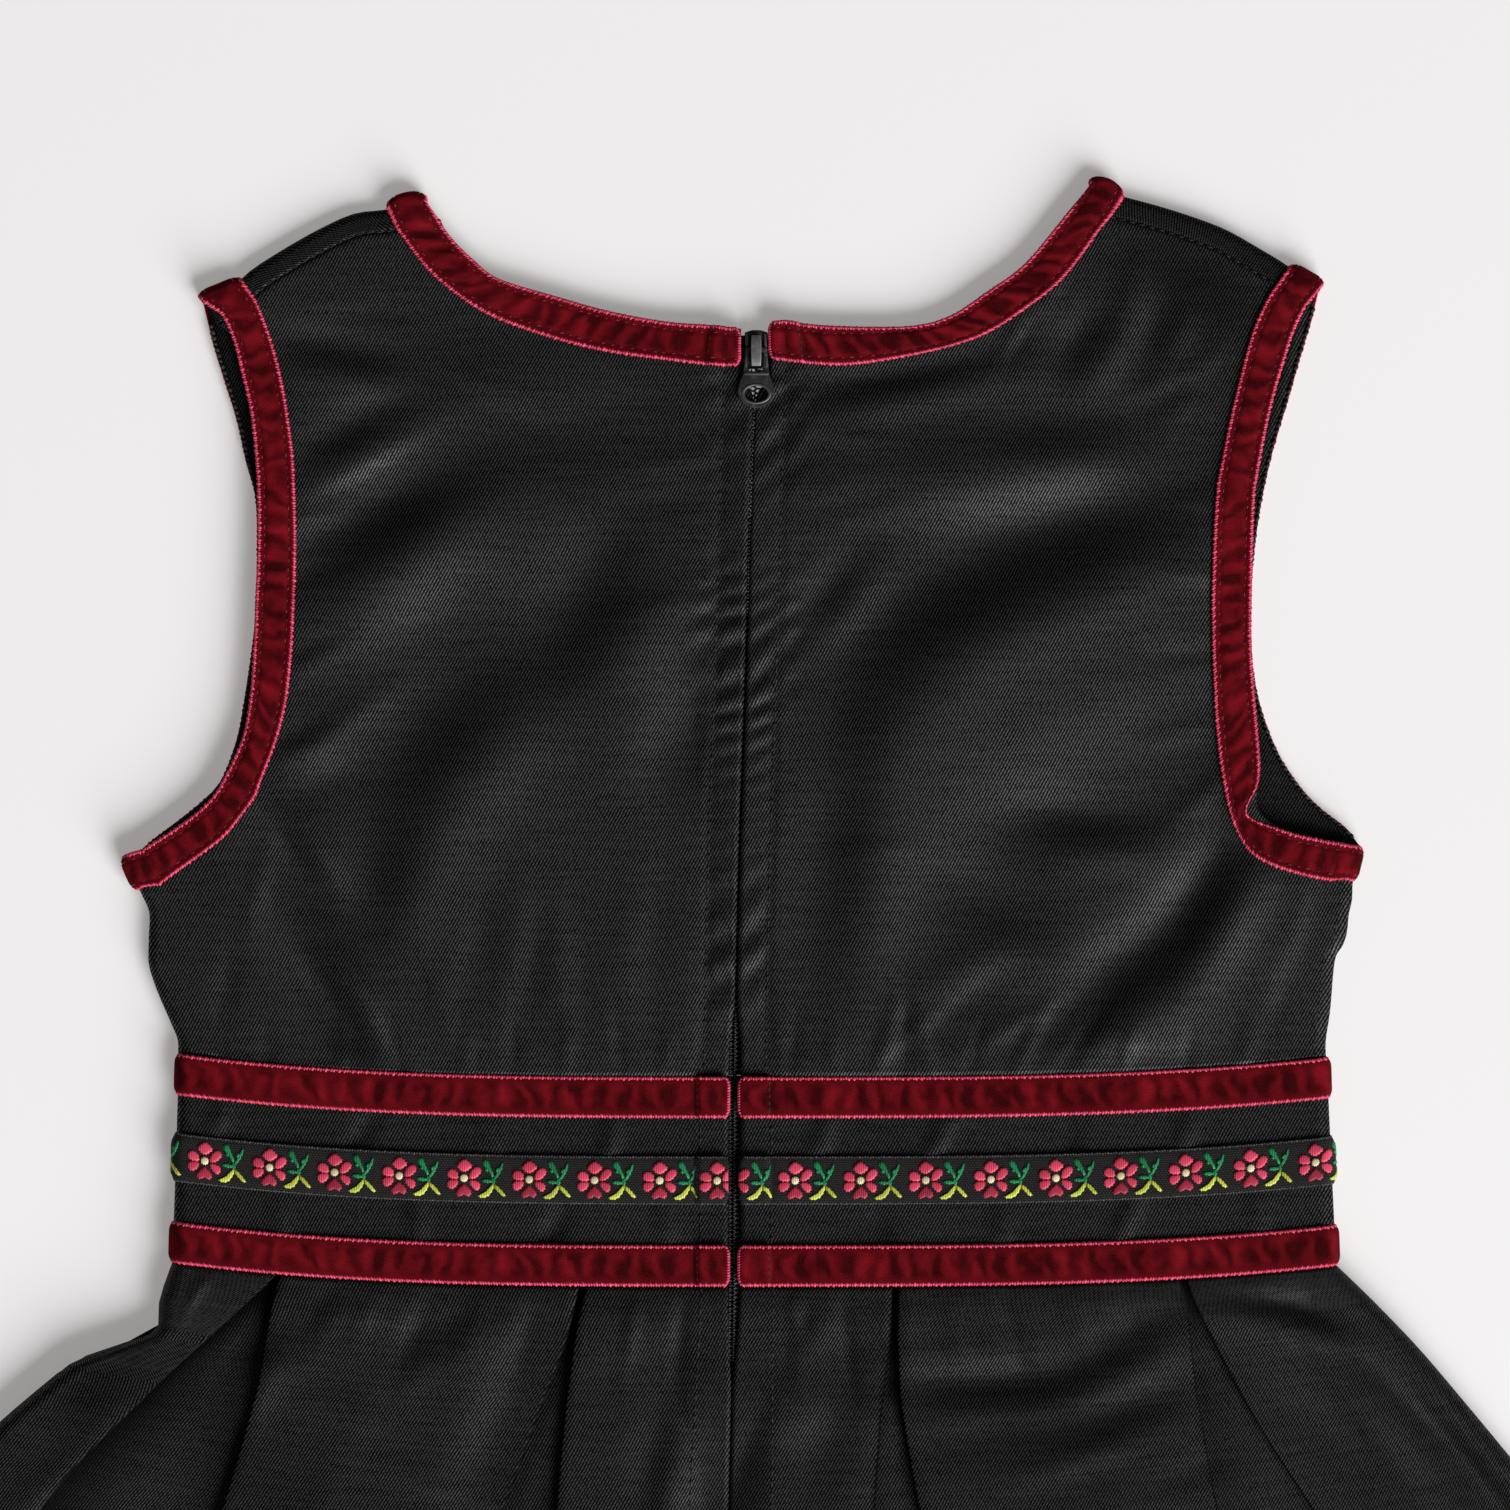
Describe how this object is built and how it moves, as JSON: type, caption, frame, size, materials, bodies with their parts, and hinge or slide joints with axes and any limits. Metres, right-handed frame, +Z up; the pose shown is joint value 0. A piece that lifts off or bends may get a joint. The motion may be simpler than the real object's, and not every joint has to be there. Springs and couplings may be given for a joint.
{
  "type": "folk costume pinafore dress",
  "caption": "Child's black sleeveless folk-costume pinafore laid flat, back up: wine velvet ribbon at neck, armholes and waist, woven flower ribbon, back zip, inverted pleats.",
  "frame": {"origin": "middle of the laid-flat dress's outline, on the surface it lies on", "axes": "+X to the right as seen from above with the back up, +Y from the hem to the neck, +Z up out of the surface"},
  "size_m": [0.7957, 0.6751, 0.0122],
  "materials": {
    "bodice_cloth": "black satin-faced twill",
    "band_cloth": "black satin-faced twill",
    "skirt_cloth": "black satin-faced twill",
    "velvet_ribbon": "wine-red velvet",
    "flower_ribbon": "black woven ribbon with flowers",
    "zip_tape": "black woven tape",
    "zip_coil": "black coil",
    "zip_metal": "dark grey lacquer"
  },
  "bodies": {
    "dress": {"bodice_front": "bodice_cloth", "bodice_back_left": "bodice_cloth", "bodice_back_right": "bodice_cloth", "midriff_front": "band_cloth", "midriff_back_left": "band_cloth", "midriff_back_right": "band_cloth", "skirt_front": "skirt_cloth", "skirt_back_left": "skirt_cloth", "skirt_back_right": "skirt_cloth", "neck_ribbon": "velvet_ribbon", "armhole_ribbon_left": "velvet_ribbon", "armhole_ribbon_right": "velvet_ribbon", "waist_ribbon_upper": "velvet_ribbon", "waist_ribbon_lower": "velvet_ribbon", "flower_ribbon": "flower_ribbon", "zip_tape_left": "zip_tape", "zip_tape_right": "zip_tape", "zip_chain": "zip_coil", "zip_slider": "zip_metal"},
    "pull": {"zip_pull": "zip_metal"}
  },
  "joints": [
    {"name": "zip_pull_hinge", "type": "hinge", "parent": "dress", "child": "pull", "pos_m": [0.00055, 0.2958, 0.0045], "axis": [-1, 0, 0], "range_deg": [0, 155]}
  ]
}
